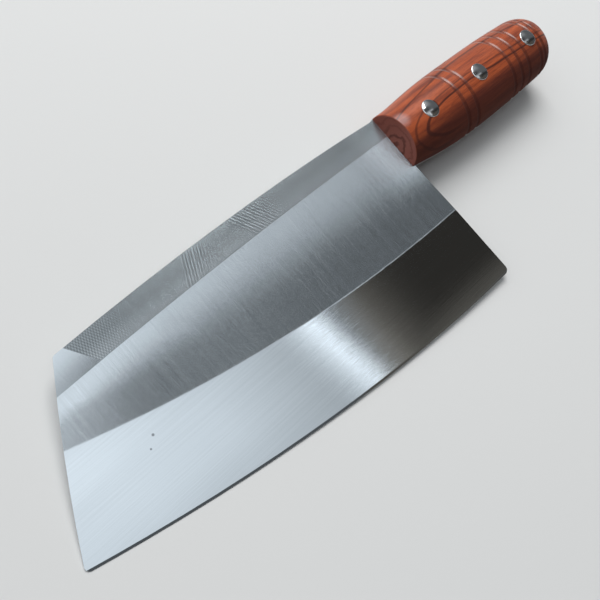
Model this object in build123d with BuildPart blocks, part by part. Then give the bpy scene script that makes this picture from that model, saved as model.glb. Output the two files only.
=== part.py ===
from build123d import *
from math import cos, radians, sin
import os

os.makedirs("parts", exist_ok=True)

# Driving sizes, in millimetres. While it is built, the knife stands in its own frame: x runs from the
# handle's front face (x = 0) back to the butt, y up to the spine, and z = 0 is the middle of the steel.

# Steel
steel_thickness = 2.4
overrun = 6.0

# Blade outline: the nose leans forward and the cutting edge is an arc that is level below the handle's front
nose_top = (-165.3, 11.3)
nose_swell = 1.0
spine_crest = (-78.0, 14.6)
spine_root = (0.0, 12.7)
heel_top = (1.4, -11.0)
heel_x = 2.6
edge_low_y = -73.8
edge_radius = 815.0
nose_tip_x = -199.5
nose_top_round = 1.6
nose_tip_round = 1.8
heel_round = 2.6

# Ground faces: a flat band under the spine, a hollow face, a flat bevel and a narrow final bevel
band_grind = 0.05
band_crest = (-29.0, 3.6)
band_radius = 2560.0
ridge_low_y = -39.1
ridge_power = 2.2
hollow_front_height = 5.3
ridge_drop = 0.15
hollow_depth = 0.28
final_bevel_width = 0.9
final_bevel_half = 0.26
edge_half = 0.06
grind_back_x = 3.2
grind_front_x = nose_tip_x - overrun
grind_stations = 7

# Handle: oval sections from the front face to the start of the rounded butt, each given as the distance
# from the front, the height above the axis, the depth below it and the half thickness
grip_sections = (
    (0.0, 13.5, 13.5, 13.5),
    (14.0, 14.0, 15.6, 13.9),
    (30.0, 15.1, 17.1, 14.5),
    (50.0, 15.4, 17.6, 14.6),
    (72.0, 15.3, 17.4, 14.5),
    (94.0, 14.5, 16.6, 13.9),
)
butt_length = 14.6
butt_flat_share = 0.46
butt_turns = (25, 45, 62, 76, 90)
rim_round = 0.6

# Rings turned into the handle
ring_positions = (34.3, 41.3, 70.8, 77.2, 83.6, 94.4, 98.2)
ring_radius = 2.6
ring_lift = 2.28

# Rivets, each given as its name, its distance from the handle's front, its place across the handle and
# the height of its seats above the middle of the steel
rivets = (
    ("front", 17.1, 0.1, 13.55),
    ("middle", 52.2, -0.1, 14.2),
    ("back", 90.7, -0.7, 13.7),
)
head_radius = 4.2
head_rim = 0.5
head_dome = 0.55
head_edge_round = 0.4
tube_radius = 2.5
pin_radius = 1.5
pin_point = 0.4
bore_clearance = 0.05
pin_clearance = 0.03
seat_clearance = 0.05
pin_end_gap = 0.6
tube_end_gap = 0.6

# How the knife lies on a table, resting on the front rivet and the nose end of its cutting edge
edge_roll = 8.45
nose_pitch = -1.93


def edge_y(x):
    """Height of the cutting edge."""
    return edge_low_y + edge_radius - (edge_radius**2 - x**2) ** 0.5


def band_y(x):
    """Lower limit of the flat band under the spine."""
    back = x - band_crest[0]
    return band_crest[1] - band_radius + (band_radius**2 - back**2) ** 0.5


def ridge_y(x):
    """Ridge between the hollow face and the flat bevel, which nears the band towards the nose."""
    rise = band_y(grind_front_x) - hollow_front_height - ridge_low_y
    return ridge_low_y + rise * abs(x / grind_front_x) ** ridge_power


half_steel = steel_thickness / 2
band_half = half_steel - band_grind

# The handle as one solid block: wood and steel are sanded flush together, so both are cut from it
sections = list(grip_sections)
butt_x, butt_high, butt_low, butt_half = sections[-1]
for turn in butt_turns:
    share = butt_flat_share + (1 - butt_flat_share) * cos(radians(turn))
    back = butt_x + butt_length * sin(radians(turn))
    sections.append((back, butt_high * share, butt_low * share, butt_half * share))

with BuildPart() as grip:
    for x, high, low, half in sections:
        with BuildSketch(Plane.YZ.offset(x)):
            with BuildLine():
                EllipticalCenterArc((0, 0), high, half, start_angle=-90, arc_size=180)
                EllipticalCenterArc((0, 0), low, half, start_angle=90, arc_size=180)
            make_face()
    loft()
    fillet(grip.faces().sort_by(Axis.X)[0].edges(), rim_round)
    skin = grip.part
    for x in ring_positions:
        cut = section(skin, section_by=Plane.YZ.offset(x), mode=Mode.PRIVATE)
        path = cut.faces()[0].outer_wire()
        start = path @ 0
        outward = Vector(0, start.Y, start.Z).normalized()
        with BuildSketch(Plane(origin=start + outward * ring_lift, x_dir=(1, 0, 0), z_dir=path % 0)):
            Circle(ring_radius)
        sweep(path=path, mode=Mode.SUBTRACT)

# Steel ground away below the spine band on the blade's left face
with BuildPart() as grind:
    for station in range(grind_stations):
        x = grind_back_x + (grind_front_x - grind_back_x) * station / (grind_stations - 1)
        band = (band_y(x), band_half)
        ridge = (ridge_y(x), band_half - ridge_drop)
        hollow = ((band[0] + ridge[0]) / 2, (band[1] + ridge[1]) / 2 - hollow_depth)
        final = (edge_y(x) + final_bevel_width, final_bevel_half)
        with BuildSketch(Plane.YZ.offset(x)):
            with BuildLine():
                ThreePointArc(band, hollow, ridge)
                Polyline(
                    ridge,
                    final,
                    (edge_y(x), edge_half),
                    (edge_y(x) - overrun, edge_half),
                    (edge_y(x) - overrun, half_steel + overrun),
                    (band[0], half_steel + overrun),
                    band,
                )
            make_face()
    loft()

# Blade and full tang, one piece of steel: the blade's faces are ground just below the tang's
nose_tip = (nose_tip_x, edge_y(nose_tip_x))
heel = (heel_x, edge_y(heel_x))
edge_middle_x = (nose_tip_x + heel_x) / 2
nose_lean = Vector(*nose_tip) - Vector(*nose_top)
nose_out = Vector(nose_lean.Y, -nose_lean.X).normalized()
nose_middle = Vector(*nose_top) + nose_lean / 2 + nose_out * nose_swell

with BuildPart() as blade:
    add(grip.part)
    split(bisect_by=Plane.XY.offset(half_steel), keep=Keep.BOTTOM)
    split(bisect_by=Plane.XY.offset(-half_steel), keep=Keep.TOP)
    with BuildSketch(Plane.XY.offset(-band_half)):
        with BuildLine():
            ThreePointArc(nose_top, spine_crest, spine_root)
            Polyline(spine_root, (overrun, spine_root[1]), (overrun, heel_top[1]), heel_top, heel)
            ThreePointArc(heel, (edge_middle_x, edge_y(edge_middle_x)), nose_tip)
            ThreePointArc(nose_tip, nose_middle, nose_top)
        make_face()
        for corner, radius in ((nose_top, nose_top_round), (nose_tip, nose_tip_round), (heel, heel_round)):
            fillet(vertices().sort_by_distance(corner)[0], radius)
    extrude(amount=2 * band_half)
    add(grind.part, mode=Mode.SUBTRACT)
    mirror(grind.part, about=Plane.XY, mode=Mode.SUBTRACT)
    for place, x, y, seat in rivets:
        with Locations((x, y)):
            Hole(tube_radius + bore_clearance)
blade.part.label = "blade"
pieces = [blade.part]

# Wooden scales, one on each side of the tang
for side, name in ((1, "left_scale"), (-1, "right_scale")):
    with BuildPart() as scale:
        add(grip.part)
        split(bisect_by=Plane.XY.offset(side * half_steel), keep=Keep.TOP if side > 0 else Keep.BOTTOM)
        for place, x, y, seat in rivets:
            with Locations((x, y)):
                Hole(tube_radius + bore_clearance)
            with BuildSketch(Plane.XY.offset(side * seat)):
                with Locations((x, y)):
                    Circle(head_radius + seat_clearance)
            extrude(amount=side * overrun, mode=Mode.SUBTRACT)
    scale.part.label = name
    pieces.append(scale.part)

# Two-part rivets: a tube is pushed in from the right and a pin from the left is pressed into it. Their
# domed heads sit on flat seats sunk into the wood. Both profiles run from the axis out to the head's rim.
for place, x, y, seat in rivets:
    rim_top = seat + head_rim
    crown = (0, rim_top + head_dome)
    pin_end = pin_end_gap - seat
    tube_end = tube_end_gap - seat
    bore_radius = pin_radius + pin_clearance
    pin_profile = (
        crown,
        (0, pin_end),
        (pin_radius - pin_point, pin_end),
        (pin_radius, pin_end + pin_point),
        (pin_radius, seat),
        (head_radius, seat),
        (head_radius, rim_top),
    )
    tube_profile = (
        crown,
        (0, seat),
        (bore_radius, seat),
        (bore_radius, tube_end),
        (tube_radius, tube_end),
        (tube_radius, seat),
        (head_radius, seat),
        (head_radius, rim_top),
    )
    for side, name, profile in ((1, "rivet_pin", pin_profile), (-1, "rivet_tube", tube_profile)):
        with BuildPart() as rivet:
            with BuildSketch(Plane(origin=(x, y, 0), x_dir=(1, 0, 0), z_dir=(0, -side, 0))):
                with BuildLine():
                    Polyline(*profile)
                    TangentArc(crown, (head_radius, rim_top), tangent=(1, 0))
                make_face()
                fillet(vertices().sort_by_distance((head_radius, rim_top))[0], head_edge_round)
            revolve(axis=Axis((x, y, 0), (0, 0, 1)))
        rivet.part.label = f"{name}_{place}"
        pieces.append(rivet.part)

# The knife laid down as it rests, with the origin at the bottom centre of its bounding box
lay = Rot(Y=nose_pitch) * Rot(X=edge_roll)
box = Compound([piece.moved(lay) for piece in pieces]).bounding_box()
table = Pos(-box.center().X, -box.center().Y, -box.min.Z)
for piece in pieces:
    laid = piece.moved(table * lay)
    laid.label = piece.label
    export_step(laid, f"parts/{piece.label}.step")
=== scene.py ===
from math import cos, hypot, pi, radians, sin

import bpy
from mathutils import Matrix, Vector

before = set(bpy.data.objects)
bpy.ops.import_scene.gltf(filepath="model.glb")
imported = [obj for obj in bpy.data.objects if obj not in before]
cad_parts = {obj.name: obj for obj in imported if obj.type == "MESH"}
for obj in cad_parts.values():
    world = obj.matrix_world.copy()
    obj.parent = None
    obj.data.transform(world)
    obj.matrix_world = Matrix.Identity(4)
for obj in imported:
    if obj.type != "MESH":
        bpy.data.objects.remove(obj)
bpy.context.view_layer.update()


# Blade
# One piece of stainless steel, ground to a flat band, a hollow face, a bevel and a narrow cutting bevel.
# Every face keeps the marks of its own wheel. The tang runs on through the handle between the scales.

# The knife's own frame, in which x runs back from the handle's front face, y up to the spine and z out of
# the left face. It is rolled and pitched, and then set down on the floor.
roll = radians(8.45)
pitch = radians(-1.93)
set_down = (0.0447978, 0.028812, 0.0140702)
knife_x = (cos(pitch), 0.0, -sin(pitch))
knife_y = (sin(pitch) * sin(roll), cos(roll), cos(pitch) * sin(roll))
millimetre = 0.001

# Outlines of the ground faces, and the start of the tang, in millimetres
band_crest = (-29.0, 3.6)
band_radius = 2560.0
ridge_low = -39.1
ridge_rise = 31.3
ridge_reach = 205.5
ridge_power = 2.2
tang_front = 2.8

# Radius of the bend that the hollow face's shading has beyond the solid's, and depths of the marks, in
# millimetres
dish_radius = 380.0
across_depth = 0.015
across_coarse_depth = 0.007
along_depth = 0.003
along_coarse_depth = 0.004
hatching_depth = 0.0008

# Slope of the finest grooves, and how fast the tip of the band falls away above its level part
groove_slope = 1.9
tip_level = -3.0
tip_curve = 0.0065

# Stretches over which a mark, a finish, a painted highlight or painted shade fades in or out: five along the
# blade, and one up it
painted_highlight_fade = (-178.0, -140.0)
nose_fade = (-165.0, -110.0)
crossed_fade = (-158.0, -126.0)
dull_fade = (-90.0, -10.0)
handle_fade = (-22.0, -2.0)
handle_fade_up = (-28.0, -10.0)

# Lines across the band, each by a place near the spine and its lean: where the rising and the falling lines
# of the hatching start again, and where the tip ends
rising_start, rising_lean = (-108.1, 13.9), 0.515
falling_start, falling_lean = (-84.0, 13.9), -0.57
tip_end, tip_lean = (-161.2, 11.8), -0.65

# Spacings of the hatching's lines, by the nose and where they start again, and how strongly and over which
# stretch behind that start they show
nose_spacing = 0.92
rising_spacing, rising_strength, rising_fade = 1.2, 1.35, (3.0, 18.0)
falling_spacing, falling_strength, falling_fade = 1.3, 1.6, (6.0, 27.0)

# Two small pits in the bevel, each by its place and radius
pits = ((-156.8, -29.6, 0.7), (-160.3, -32.8, 0.5))

steel_dull = (0.46, 0.51, 0.54, 1.0)
steel_bright = (0.86, 0.93, 0.98, 1.0)
pit_colour = (0.1, 0.1, 0.11, 1.0)
tang_colour = (0.26, 0.25, 0.25, 1.0)


class Value:
    """One output of a node. Python's operators on it add Math nodes."""

    def __init__(self, nodes, socket):
        self.nodes = nodes
        self.socket = socket

    def math(self, operation, *others):
        """Math node on this value and the others."""
        return self.nodes.add("Math", {"operation": operation}, dict(enumerate((self, *others))))

    def __add__(self, other):
        return self.math("ADD", other)

    __radd__ = __add__

    def __sub__(self, other):
        return self.math("SUBTRACT", other)

    def __rsub__(self, other):
        return self.nodes.add("Math", {"operation": "SUBTRACT"}, {0: other, 1: self})

    def __mul__(self, other):
        return self.math("MULTIPLY", other)

    __rmul__ = __mul__

    def __truediv__(self, other):
        return self.math("DIVIDE", other)

    def __pow__(self, other):
        return self.math("POWER", other)

    def __abs__(self):
        return self.math("ABSOLUTE")

    def __neg__(self):
        return self.math("MULTIPLY", -1.0)

    def rise(self, low, high):
        """Smooth step from 0 at low to 1 at high."""
        sockets = {"Value": self, "From Min": low, "From Max": high}
        return self.nodes.add("MapRange", {"interpolation_type": "SMOOTHSTEP"}, sockets)


class Nodes:
    """The node tree of a material or of the world."""

    def __init__(self, tree):
        self.tree = tree

    def fill(self, node, sockets):
        """Give sockets of a node their values or links."""
        for name, given in sockets.items():
            if isinstance(given, Value):
                self.tree.links.new(given.socket, node.inputs[name])
            else:
                node.inputs[name].default_value = given

    def add(self, kind, settings, sockets, output=0):
        """One output of a new node."""
        node = self.tree.nodes.new("ShaderNode" + kind)
        for name, setting in settings.items():
            if name == "stops":
                stops = node.color_ramp.elements
                while len(stops) < len(setting):
                    stops.new(1.0)
                for stop, (place, colour) in zip(stops, setting):
                    stop.position = place
                    stop.color = colour
            else:
                setattr(node, name, setting)
        self.fill(node, sockets)
        return Value(self, node.outputs[output])

    def mix(self, share, first, second):
        """Colour between the first and the second."""
        # A Mix node has its colours at inputs 6 and 7 and at output 2
        settings = {"data_type": "RGBA", "clamp_factor": False}
        return self.add("Mix", settings, {0: share, 6: first, 7: second}, 2)

    def knife_place(self):
        """Place on the knife in its own frame, in millimetres."""
        place = self.add("TexCoord", {}, {}, "Object")
        return self.add(
            "Mapping",
            {"vector_type": "TEXTURE"},
            {"Vector": place, "Location": set_down, "Rotation": (roll, pitch, 0), "Scale": (millimetre,) * 3},
        )

    def parts(self, vector):
        """The x, y and z of a place or a direction."""
        split = self.add("SeparateXYZ", {}, {"Vector": vector})
        return [Value(self, output) for output in split.socket.node.outputs]

    def stretched(self, place, scales, detail, roughness=0.5):
        """Noise drawn out along the axes with the small scales."""
        scaled = self.add("VectorMath", {"operation": "MULTIPLY"}, {0: place, 1: scales})
        sockets = {"Vector": scaled, "Scale": 1.0, "Detail": detail, "Roughness": roughness}
        return self.add("TexNoise", {}, sockets)

    def bump(self, relief):
        """Normal of a surface with a relief in millimetres."""
        return self.add("Bump", {}, {"Height": relief, "Distance": millimetre, "Strength": 1.0})

    def turned(self, normal, *turns):
        """Normal turned aside, each turn given as a direction and a slope towards it."""
        for direction, slope in turns:
            turn = self.add("VectorMath", {"operation": "SCALE"}, {0: direction, "Scale": slope})
            normal = self.add("VectorMath", {"operation": "ADD"}, {0: normal, 1: turn})
        return self.add("VectorMath", {"operation": "NORMALIZE"}, {0: normal})


def new_finish(name):
    """New material, with its nodes and its shader."""
    finish = bpy.data.materials.new(name)
    finish.use_nodes = True
    return finish, Nodes(finish.node_tree), finish.node_tree.nodes["Principled BSDF"]


def cover(piece, finish):
    """Put a material on a piece in place of the one that it came with."""
    piece.data.materials.clear()
    piece.data.materials.append(finish)


def distance(first, second):
    """Distance from where both are zero."""
    return (first**2 + second**2).math("SQRT")


def past_line(x, y, start, lean):
    """How far along the knife a place lies behind a leaning line."""
    return x - start[0] - (y - start[1]) * lean


def hatched(past, lean, spacing):
    """Wave with its crests along a leaning line."""
    return (past * (2 * pi / (spacing * hypot(1, lean)))).math("SINE")


steel, nodes, surface = new_finish("ground_steel")
place = nodes.knife_place()
x, y, z = nodes.parts(place)

band_line = band_crest[1] - (x - band_crest[0]) ** 2 / (2 * band_radius)
ridge_line = ridge_low + (abs(x) / ridge_reach) ** ridge_power * ridge_rise
above_band = (y - band_line).rise(-0.12, 0.12)
below_ridge = (ridge_line - y).rise(-0.1, 0.1)
hollow = (1 - above_band) * (1 - below_ridge)
near_nose = 1 - x.rise(*nose_fade)
near_handle = x.rise(*handle_fade) * y.rise(*handle_fade_up)
in_tang = x.rise(tang_front - 0.1, tang_front + 0.1)

# The hollow face mirrors the room as if a smaller wheel had ground it than the solid's
below_band = (band_line - y).math("MAXIMUM", 0.0)
above_ridge = (y - ridge_line).math("MAXIMUM", 0.0)
dish = below_band * above_ridge / (-2 * dish_radius)

# Marks: along the blade on the bevel, and across it above that
across = nodes.stretched(place, (9.0, 0.12, 0.0), detail=2.0, roughness=0.6) - 0.5
across_coarse = nodes.stretched(place, (1.1, 0.02, 0.0), detail=3.0, roughness=0.7) - 0.5
along = nodes.stretched(place, (0.05, 7.0, 0.0), detail=3.0, roughness=0.6) - 0.5
along_coarse = nodes.stretched(place, (0.012, 1.4, 0.0), detail=5.0, roughness=0.75) - 0.5

# Crossed hatching on the band, left out at its tip. It fades away from the nose, and further back each of
# its two sets of lines starts once more, coarser, at a sharp line, and fades again.
past_rising = past_line(x, y, rising_start, rising_lean)
past_falling = past_line(x, y, falling_start, falling_lean)
past_tip = past_line(x, y, tip_end, tip_lean).rise(-0.15, 0.15)
in_tip = (1 - past_tip) * above_band
in_hatching = past_tip * above_band
crossed = hatched(past_rising, rising_lean, nose_spacing) + hatched(past_falling, falling_lean, nose_spacing)
crossed = crossed * (1 - x.rise(*crossed_fade) * 0.95)
rising_again = past_rising.rise(-0.3, 0.3) * (1 - past_rising.rise(*rising_fade)) * rising_strength
falling_again = past_falling.rise(-0.3, 0.3) * (1 - past_falling.rise(*falling_fade)) * falling_strength
hatching = crossed + hatched(past_rising, rising_lean, rising_spacing) * rising_again
hatching = hatching + hatched(past_falling, falling_lean, falling_spacing) * falling_again

# Of the hatching, only the crossed lines by the nose are in the relief
across_relief = (across * across_depth + across_coarse * across_coarse_depth) * (1 - below_ridge)
along_relief = (along * along_depth + along_coarse * along_coarse_depth) * below_ridge
relief = dish + across_relief * (1 - near_nose * 0.5) + along_relief + crossed * in_hatching * hatching_depth

# What turns the surface aside without raising it: grooves in the hollow face that are too fine to see one
# by one, the steel beside the handle, which leans a little away from it, the tip of the band, which is
# rounded off towards the spine, and the rounding of the ridge
grooves = (nodes.stretched(place, (310.0, 0.0, 0.0), detail=1.0) - 0.5) * hollow * groove_slope
grooves = grooves * (1 - near_nose * 0.6 + near_handle * 0.8)
lean_away = near_handle * (hollow * 0.17 + above_band * 0.2)
rounded = (1 - abs(y - ridge_line).rise(0.05, 0.4)) * (below_ridge * 0.09 - 0.06)
tip_fall = in_tip * (y - tip_level) * tip_curve
normal = nodes.turned(nodes.bump(relief), (knife_x, grooves - lean_away), (knife_y, rounded - tip_fall))

# The hatched band is duller towards the nose, and dull in a thin line where the falling lines start again; a
# painted highlight along its lower edge makes it less dull there. Painted shade darkens the band beside the
# handle. A painted highlight brightens the hollow face at the nose, below the band.
roughness = 0.045 + hollow * 0.04 + in_tip * 0.08 + in_hatching * 0.17 + in_tang * 0.2
dull_and_painted_light = 0.14 + (1 - x.rise(*dull_fade)) * 0.55 + (1 - abs(past_falling).rise(0.2, 1.6)) * 0.15
dull_and_painted_light = in_hatching * (dull_and_painted_light - (1 - (y - band_line).rise(1, 8)) * 0.4) + above_band * near_handle * 0.45
painted_highlight = hollow * (1 - x.rise(*painted_highlight_fade)) * (band_line - y).rise(2, 12) * 0.4
marks = across_coarse * hollow * 0.5 + along_coarse * below_ridge * 0.4 + hatching * in_hatching * 0.22
sheen = nodes.mix(0.5 + marks + painted_highlight - dull_and_painted_light, steel_dull, steel_bright)
sheen = nodes.mix(in_tang, sheen, tang_colour)
for pit_x, pit_y, pit_radius in pits:
    from_pit = distance(x - pit_x, y - pit_y)
    sheen = nodes.mix((1 - from_pit.rise(pit_radius * 0.4, pit_radius)) * 0.7, sheen, pit_colour)
nodes.fill(surface, {"Base Color": sheen, "Metallic": 1.0, "Roughness": roughness, "Normal": normal})
cover(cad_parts["blade"], steel)


# Scales
# Two halves of reddish rosewood, glued and riveted to the tang, turned with rings while together, sanded
# flush with the steel and lacquered.

# Places of the rings turned into the handle, and the distances from a ring over which its look fades out
ring_places = (34.3, 41.3, 70.8, 77.2, 83.6, 94.4, 98.2)
ring_fade = (0.8, 1.4)

# Dark streaks: two loops, by their distances from a line below the handle's axis, and an arc near its back
loop_middle = -7.0
inner_loop, outer_loop = 6.5, 9.3
back_streak_crest = (56.0, 11.4)
back_streak_bend = 0.00215

# Middle of the end grain's rings, by its y and z, and middle of the painted highlight on the rim, by its x
# and y, with the distances over which the highlight fades out
end_heart = (-2.0, 2.0)
rim_highlight_place = (2.0, 3.5)
rim_highlight_fade = (0.5, 4.5)

# Depths below the axis over which painted shade darkens the handle and it grows duller, and heights over
# which its rings grow burnished and less darkened by painted shade
dull_and_painted_shade_depths = (2.0, 11.0)
above_fade = (-3.0, 4.0)

grain_depth = 0.02
wood_light = (0.42, 0.09, 0.029, 1.0)
wood_deep = (0.13, 0.024, 0.012, 1.0)
wood_dark = (0.045, 0.012, 0.009, 1.0)
end_colour = (0.23, 0.078, 0.058, 1.0)
rim_highlight_colour = (0.5, 0.4, 0.4, 1.0)


def streak(past, half_width):
    """Dark line where the distance past it is zero."""
    return 1 - abs(past).rise(half_width * 0.3, half_width)


wood, nodes, surface = new_finish("rosewood")
place = nodes.knife_place()
x, y, z = nodes.parts(place)

# The loops are rings of the tree. They close behind the front face, and their lower arms fade further back.
sway = nodes.stretched(place, (0.03, 0.12, 0.12), detail=2.0) - 0.5
loop_height = y - loop_middle + (x - 45).math("MAXIMUM", 0.0) * 0.06
loop_end = (46 - x).math("MAXIMUM", 0.0) ** 2 * 0.005
from_middle = distance(loop_height, loop_end) + sway * 2.0
loops = streak(from_middle - inner_loop, 0.6)
loops = loops.math("MAXIMUM", streak(from_middle - outer_loop, 0.45) * 0.7)
loops = loops * (1 - x.rise(16, 36) * (-y).rise(4, 9) * 0.8)
past_back_streak = y - back_streak_crest[1] + (x - back_streak_crest[0]) ** 2 * back_streak_bend + sway * 1.5
streaks = loops.math("MAXIMUM", streak(past_back_streak, 0.6) * 0.85)

figure = nodes.stretched(place, (0.02, 0.35, 0.35), detail=6.0, roughness=0.62)
fine = nodes.stretched(place, (0.12, 3.2, 3.2), detail=4.0, roughness=0.6)
pores = 1 - nodes.stretched(place, (0.35, 5.0, 5.0), detail=1.0).rise(0.28, 0.4)
colour = nodes.mix((figure * 1.4 + fine * 0.6 - 0.5).rise(0.15, 0.85), wood_deep, wood_light)
colour = nodes.mix(streaks * 0.85, colour, wood_dark)
colour = nodes.mix(pores * 0.45, colour, wood_dark)

# End grain on the front face
at_front = 1 - x.rise(0.1, 0.4)
end_sway = nodes.stretched(place, (0.1, 0.16, 0.16), detail=3.0, roughness=0.6)
from_heart = distance(y - end_heart[0], z - end_heart[1])
end_rings = (from_heart * 1.6 + end_sway * 14.0).math("SINE").rise(0.1, 1.0)
end_rings = end_rings * (1 - from_heart.rise(4, 10) * 0.6)
end_tone = nodes.mix((y + z * 0.5).rise(-4, 16) * 0.5, end_colour, wood_deep)
colour = nodes.mix(at_front, colour, nodes.mix(end_rings * 0.65, end_tone, wood_dark))

# A painted highlight: a pale patch on the left scale's front rim
rim_highlight = 1 - (distance(x - rim_highlight_place[0], y - rim_highlight_place[1]) + sway * 3.0).rise(*rim_highlight_fade)
colour = nodes.mix(rim_highlight * z.rise(0, 4) * (1 - at_front) * 0.35, colour, rim_highlight_colour)

# The handle is duller below, and darkened there with painted shade. The grooves of the rings are burnished
# above, and darkened with painted shade, less so above.
dull_and_painted_shade_below = (-y).rise(*dull_and_painted_shade_depths)
in_rings = sum(1 - abs(x - ring_place).rise(*ring_fade) for ring_place in ring_places)
in_rings_above = in_rings * y.rise(*above_fade)
colour = nodes.mix(dull_and_painted_shade_below * (1 - at_front) * 0.85, colour, wood_dark)
colour = nodes.mix(in_rings * 0.55 - in_rings_above * 0.2, colour, wood_dark)
nodes.fill(
    surface,
    {
        "Base Color": colour,
        "Roughness": 0.45 + dull_and_painted_shade_below * 0.35 - in_rings_above * 0.15,
        "Specular IOR Level": 0.12,
        "Coat Weight": (1 - at_front) * (1 - dull_and_painted_shade_below) * (0.2 + in_rings_above * 0.6),
        "Coat Roughness": 0.3,
        "Normal": nodes.bump((fine - pores * 0.6) * grain_depth),
    },
)
for name in ("left_scale", "right_scale"):
    cover(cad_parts[name], wood)


# Rivets
# Three two-part cutler's rivets of stainless steel. Their pins are pressed into their tubes, which pulls the
# low polished heads down onto flat seats in the wood.

head_colour = (0.6, 0.61, 0.62, 1.0)

rivet_steel, nodes, surface = new_finish("polished_steel")
wear = nodes.stretched(nodes.knife_place(), (1.4, 1.4, 1.4), detail=5.0, roughness=0.7)
nodes.fill(surface, {"Base Color": head_colour, "Metallic": 1.0, "Roughness": 0.1 + wear * 0.06})
for name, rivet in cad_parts.items():
    if name.startswith("rivet"):
        cover(rivet, rivet_steel)


# Floor
# A plain pale sheet of paper, far wider than the knife. The knife rests on it with its front rivet and the
# nose end of its edge.

floor_half = 3.0
paper_colour = (0.62, 0.62, 0.61, 1.0)

corners = [(-1, -1), (1, -1), (1, 1), (-1, 1)]
floor_mesh = bpy.data.meshes.new("floor")
floor_mesh.from_pydata([(a * floor_half, b * floor_half, 0) for a, b in corners], [], [(0, 1, 2, 3)])
floor = bpy.data.objects.new("floor", floor_mesh)
bpy.context.scene.collection.objects.link(floor)
paper, nodes, surface = new_finish("pale_paper")
nodes.fill(surface, {"Base Color": paper_colour, "Roughness": 0.9})
floor_mesh.materials.append(paper)


# Light
# A plain pale room and one large soft lamp. The ceiling is bright over the nose and the edge, and darker
# over the handle and the spine. From the camera, the bevel mirrors its side over the edge, the band its side
# over the spine, and the hollow face what lies between.

# Levels of the ceiling's edge side, from over the nose towards the handle
edge_levels = (
    (0.000, 0.95),
    (0.100, 0.97),
    (0.250, 0.88),
    (0.400, 0.56),
    (0.438, 0.92),
    (0.460, 1.75),
    (0.472, 0.80),
    (0.481, 0.25),
    (0.517, 0.26),
    (0.533, 0.14),
    (0.556, 0.10),
    (0.600, 0.045),
    (0.660, 0.025),
)

# These are the levels where the edge side ends, and the bright strip among them slants away from there
edge_side_end = -0.17
strip_slant = 0.25

# Stretches over which the middle and then the spine side of the ceiling begin
middle_start = (-0.168, -0.150)
spine_side_start = (-0.148, -0.055)

wall_level = 0.7
cool = (0.96, 1.0, 1.04, 1.0)
warm = (1.08, 0.97, 0.84, 1.0)
black = (0.0, 0.0, 0.0, 1.0)
lamp_place = Vector((0.45, 0.75, 1.2))

world = bpy.data.worlds.new("studio")
world.use_nodes = True
nodes = Nodes(world.node_tree)

# Where a direction meets a ceiling one unit up: u towards the handle, and v towards the spine
east, north, up = nodes.parts(nodes.add("TexCoord", {}, {}, "Generated"))
u = east / up.math("MAXIMUM", 0.02)
v = north / up.math("MAXIMUM", 0.02)

# The edge side, where a bright strip lies at a slant, and which fades out away from the knife
stops = [(place, (level, level, level, 1.0)) for place, level in edge_levels]
edge_side = nodes.add("ValToRGB", {"stops": stops}, {"Fac": u + (v - edge_side_end) * strip_slant})
far_share = 0.62 + u.rise(0.2, 0.45) * 0.26
edge_side = edge_side * v.rise(-0.65, -0.36) * (far_share + v.rise(-0.36, -0.2) * (1 - far_share))

# The middle, which is brightest over the nose and dark over the handle
middle = (0.69 + (1 - u.rise(0.05, 0.42)) * 0.38) * (1 - u.rise(0.8, 1.0) * 0.85)

# The spine side, which is dark except over the nose, and a little paler further out
spine_side = 0.045 + (1 - u.rise(0.0, 0.27)) * 0.75 + u.rise(0.45, 0.8) * 0.1
spine_side = spine_side + v.rise(0.06, 0.3) * (1 - u.rise(0.6, 1.4)) * 0.25 + (1 - u.rise(-0.5, 0.0)) * 0.4

in_middle = v.rise(*middle_start)
in_spine_side = (v - (1 - u.rise(0.05, 0.25)) * 0.03).rise(*spine_side_start)
level = edge_side * (1 - in_middle) + middle * in_middle
level = level * (1 - in_spine_side) + spine_side.math("MINIMUM", 1.0) * in_spine_side

# The walls are pale all round, and no part of the ceiling is quite dark. The light is cool, but warm on the
# edge side over the handle.
walls = (1 - up.rise(0.08, 0.25)) * wall_level
least = 0.03 + (1 - v.rise(-0.34, -0.29)) * 0.07
level = level.math("MAXIMUM", walls).math("MAXIMUM", least)
in_warm = (1 - in_middle) * u.rise(0.49, 0.56) * up.rise(0.5, 0.65)
shade = nodes.mix(level, black, nodes.mix(in_warm, cool, warm))
nodes.fill(world.node_tree.nodes["Background"], {"Color": shade})
bpy.context.scene.world = world

lamp = bpy.data.lights.new("soft_lamp", "AREA")
lamp.shape = "SQUARE"
lamp.size = 0.9
lamp.energy = 19.0
lamp_stand = bpy.data.objects.new("soft_lamp", lamp)
lamp_stand.location = lamp_place
lamp_stand.rotation_euler = (-lamp_place).to_track_quat("-Z", "Y").to_euler()
bpy.context.scene.collection.objects.link(lamp_stand)
bpy.context.scene.view_settings.view_transform = "Standard"


# Camera
# It looks down from over the nose, past the edge, and is turned so that the knife runs from corner to corner
# of the picture. Its place, in metres, and its directions are given in the knife's own frame.

camera_place = Vector((-0.210668, -0.037274, 0.252182))
camera_forward = Vector((0.45344661, 0.03847316, -0.89045269))
camera_up = Vector((0.57006958, 0.75546772, 0.32293838))
camera_turn = Matrix((camera_forward.cross(camera_up), camera_up, -camera_forward)).transposed().to_4x4()
laid_down = Matrix.Translation(set_down) @ Matrix.Rotation(pitch, 4, "Y") @ Matrix.Rotation(roll, 4, "X")
camera_data = bpy.data.cameras.new("camera")
camera_data.lens = 45.0
camera_data.sensor_width = 36.0
camera = bpy.data.objects.new("camera", camera_data)
camera.matrix_world = laid_down @ Matrix.Translation(camera_place) @ camera_turn
bpy.context.scene.collection.objects.link(camera)
bpy.context.scene.camera = camera
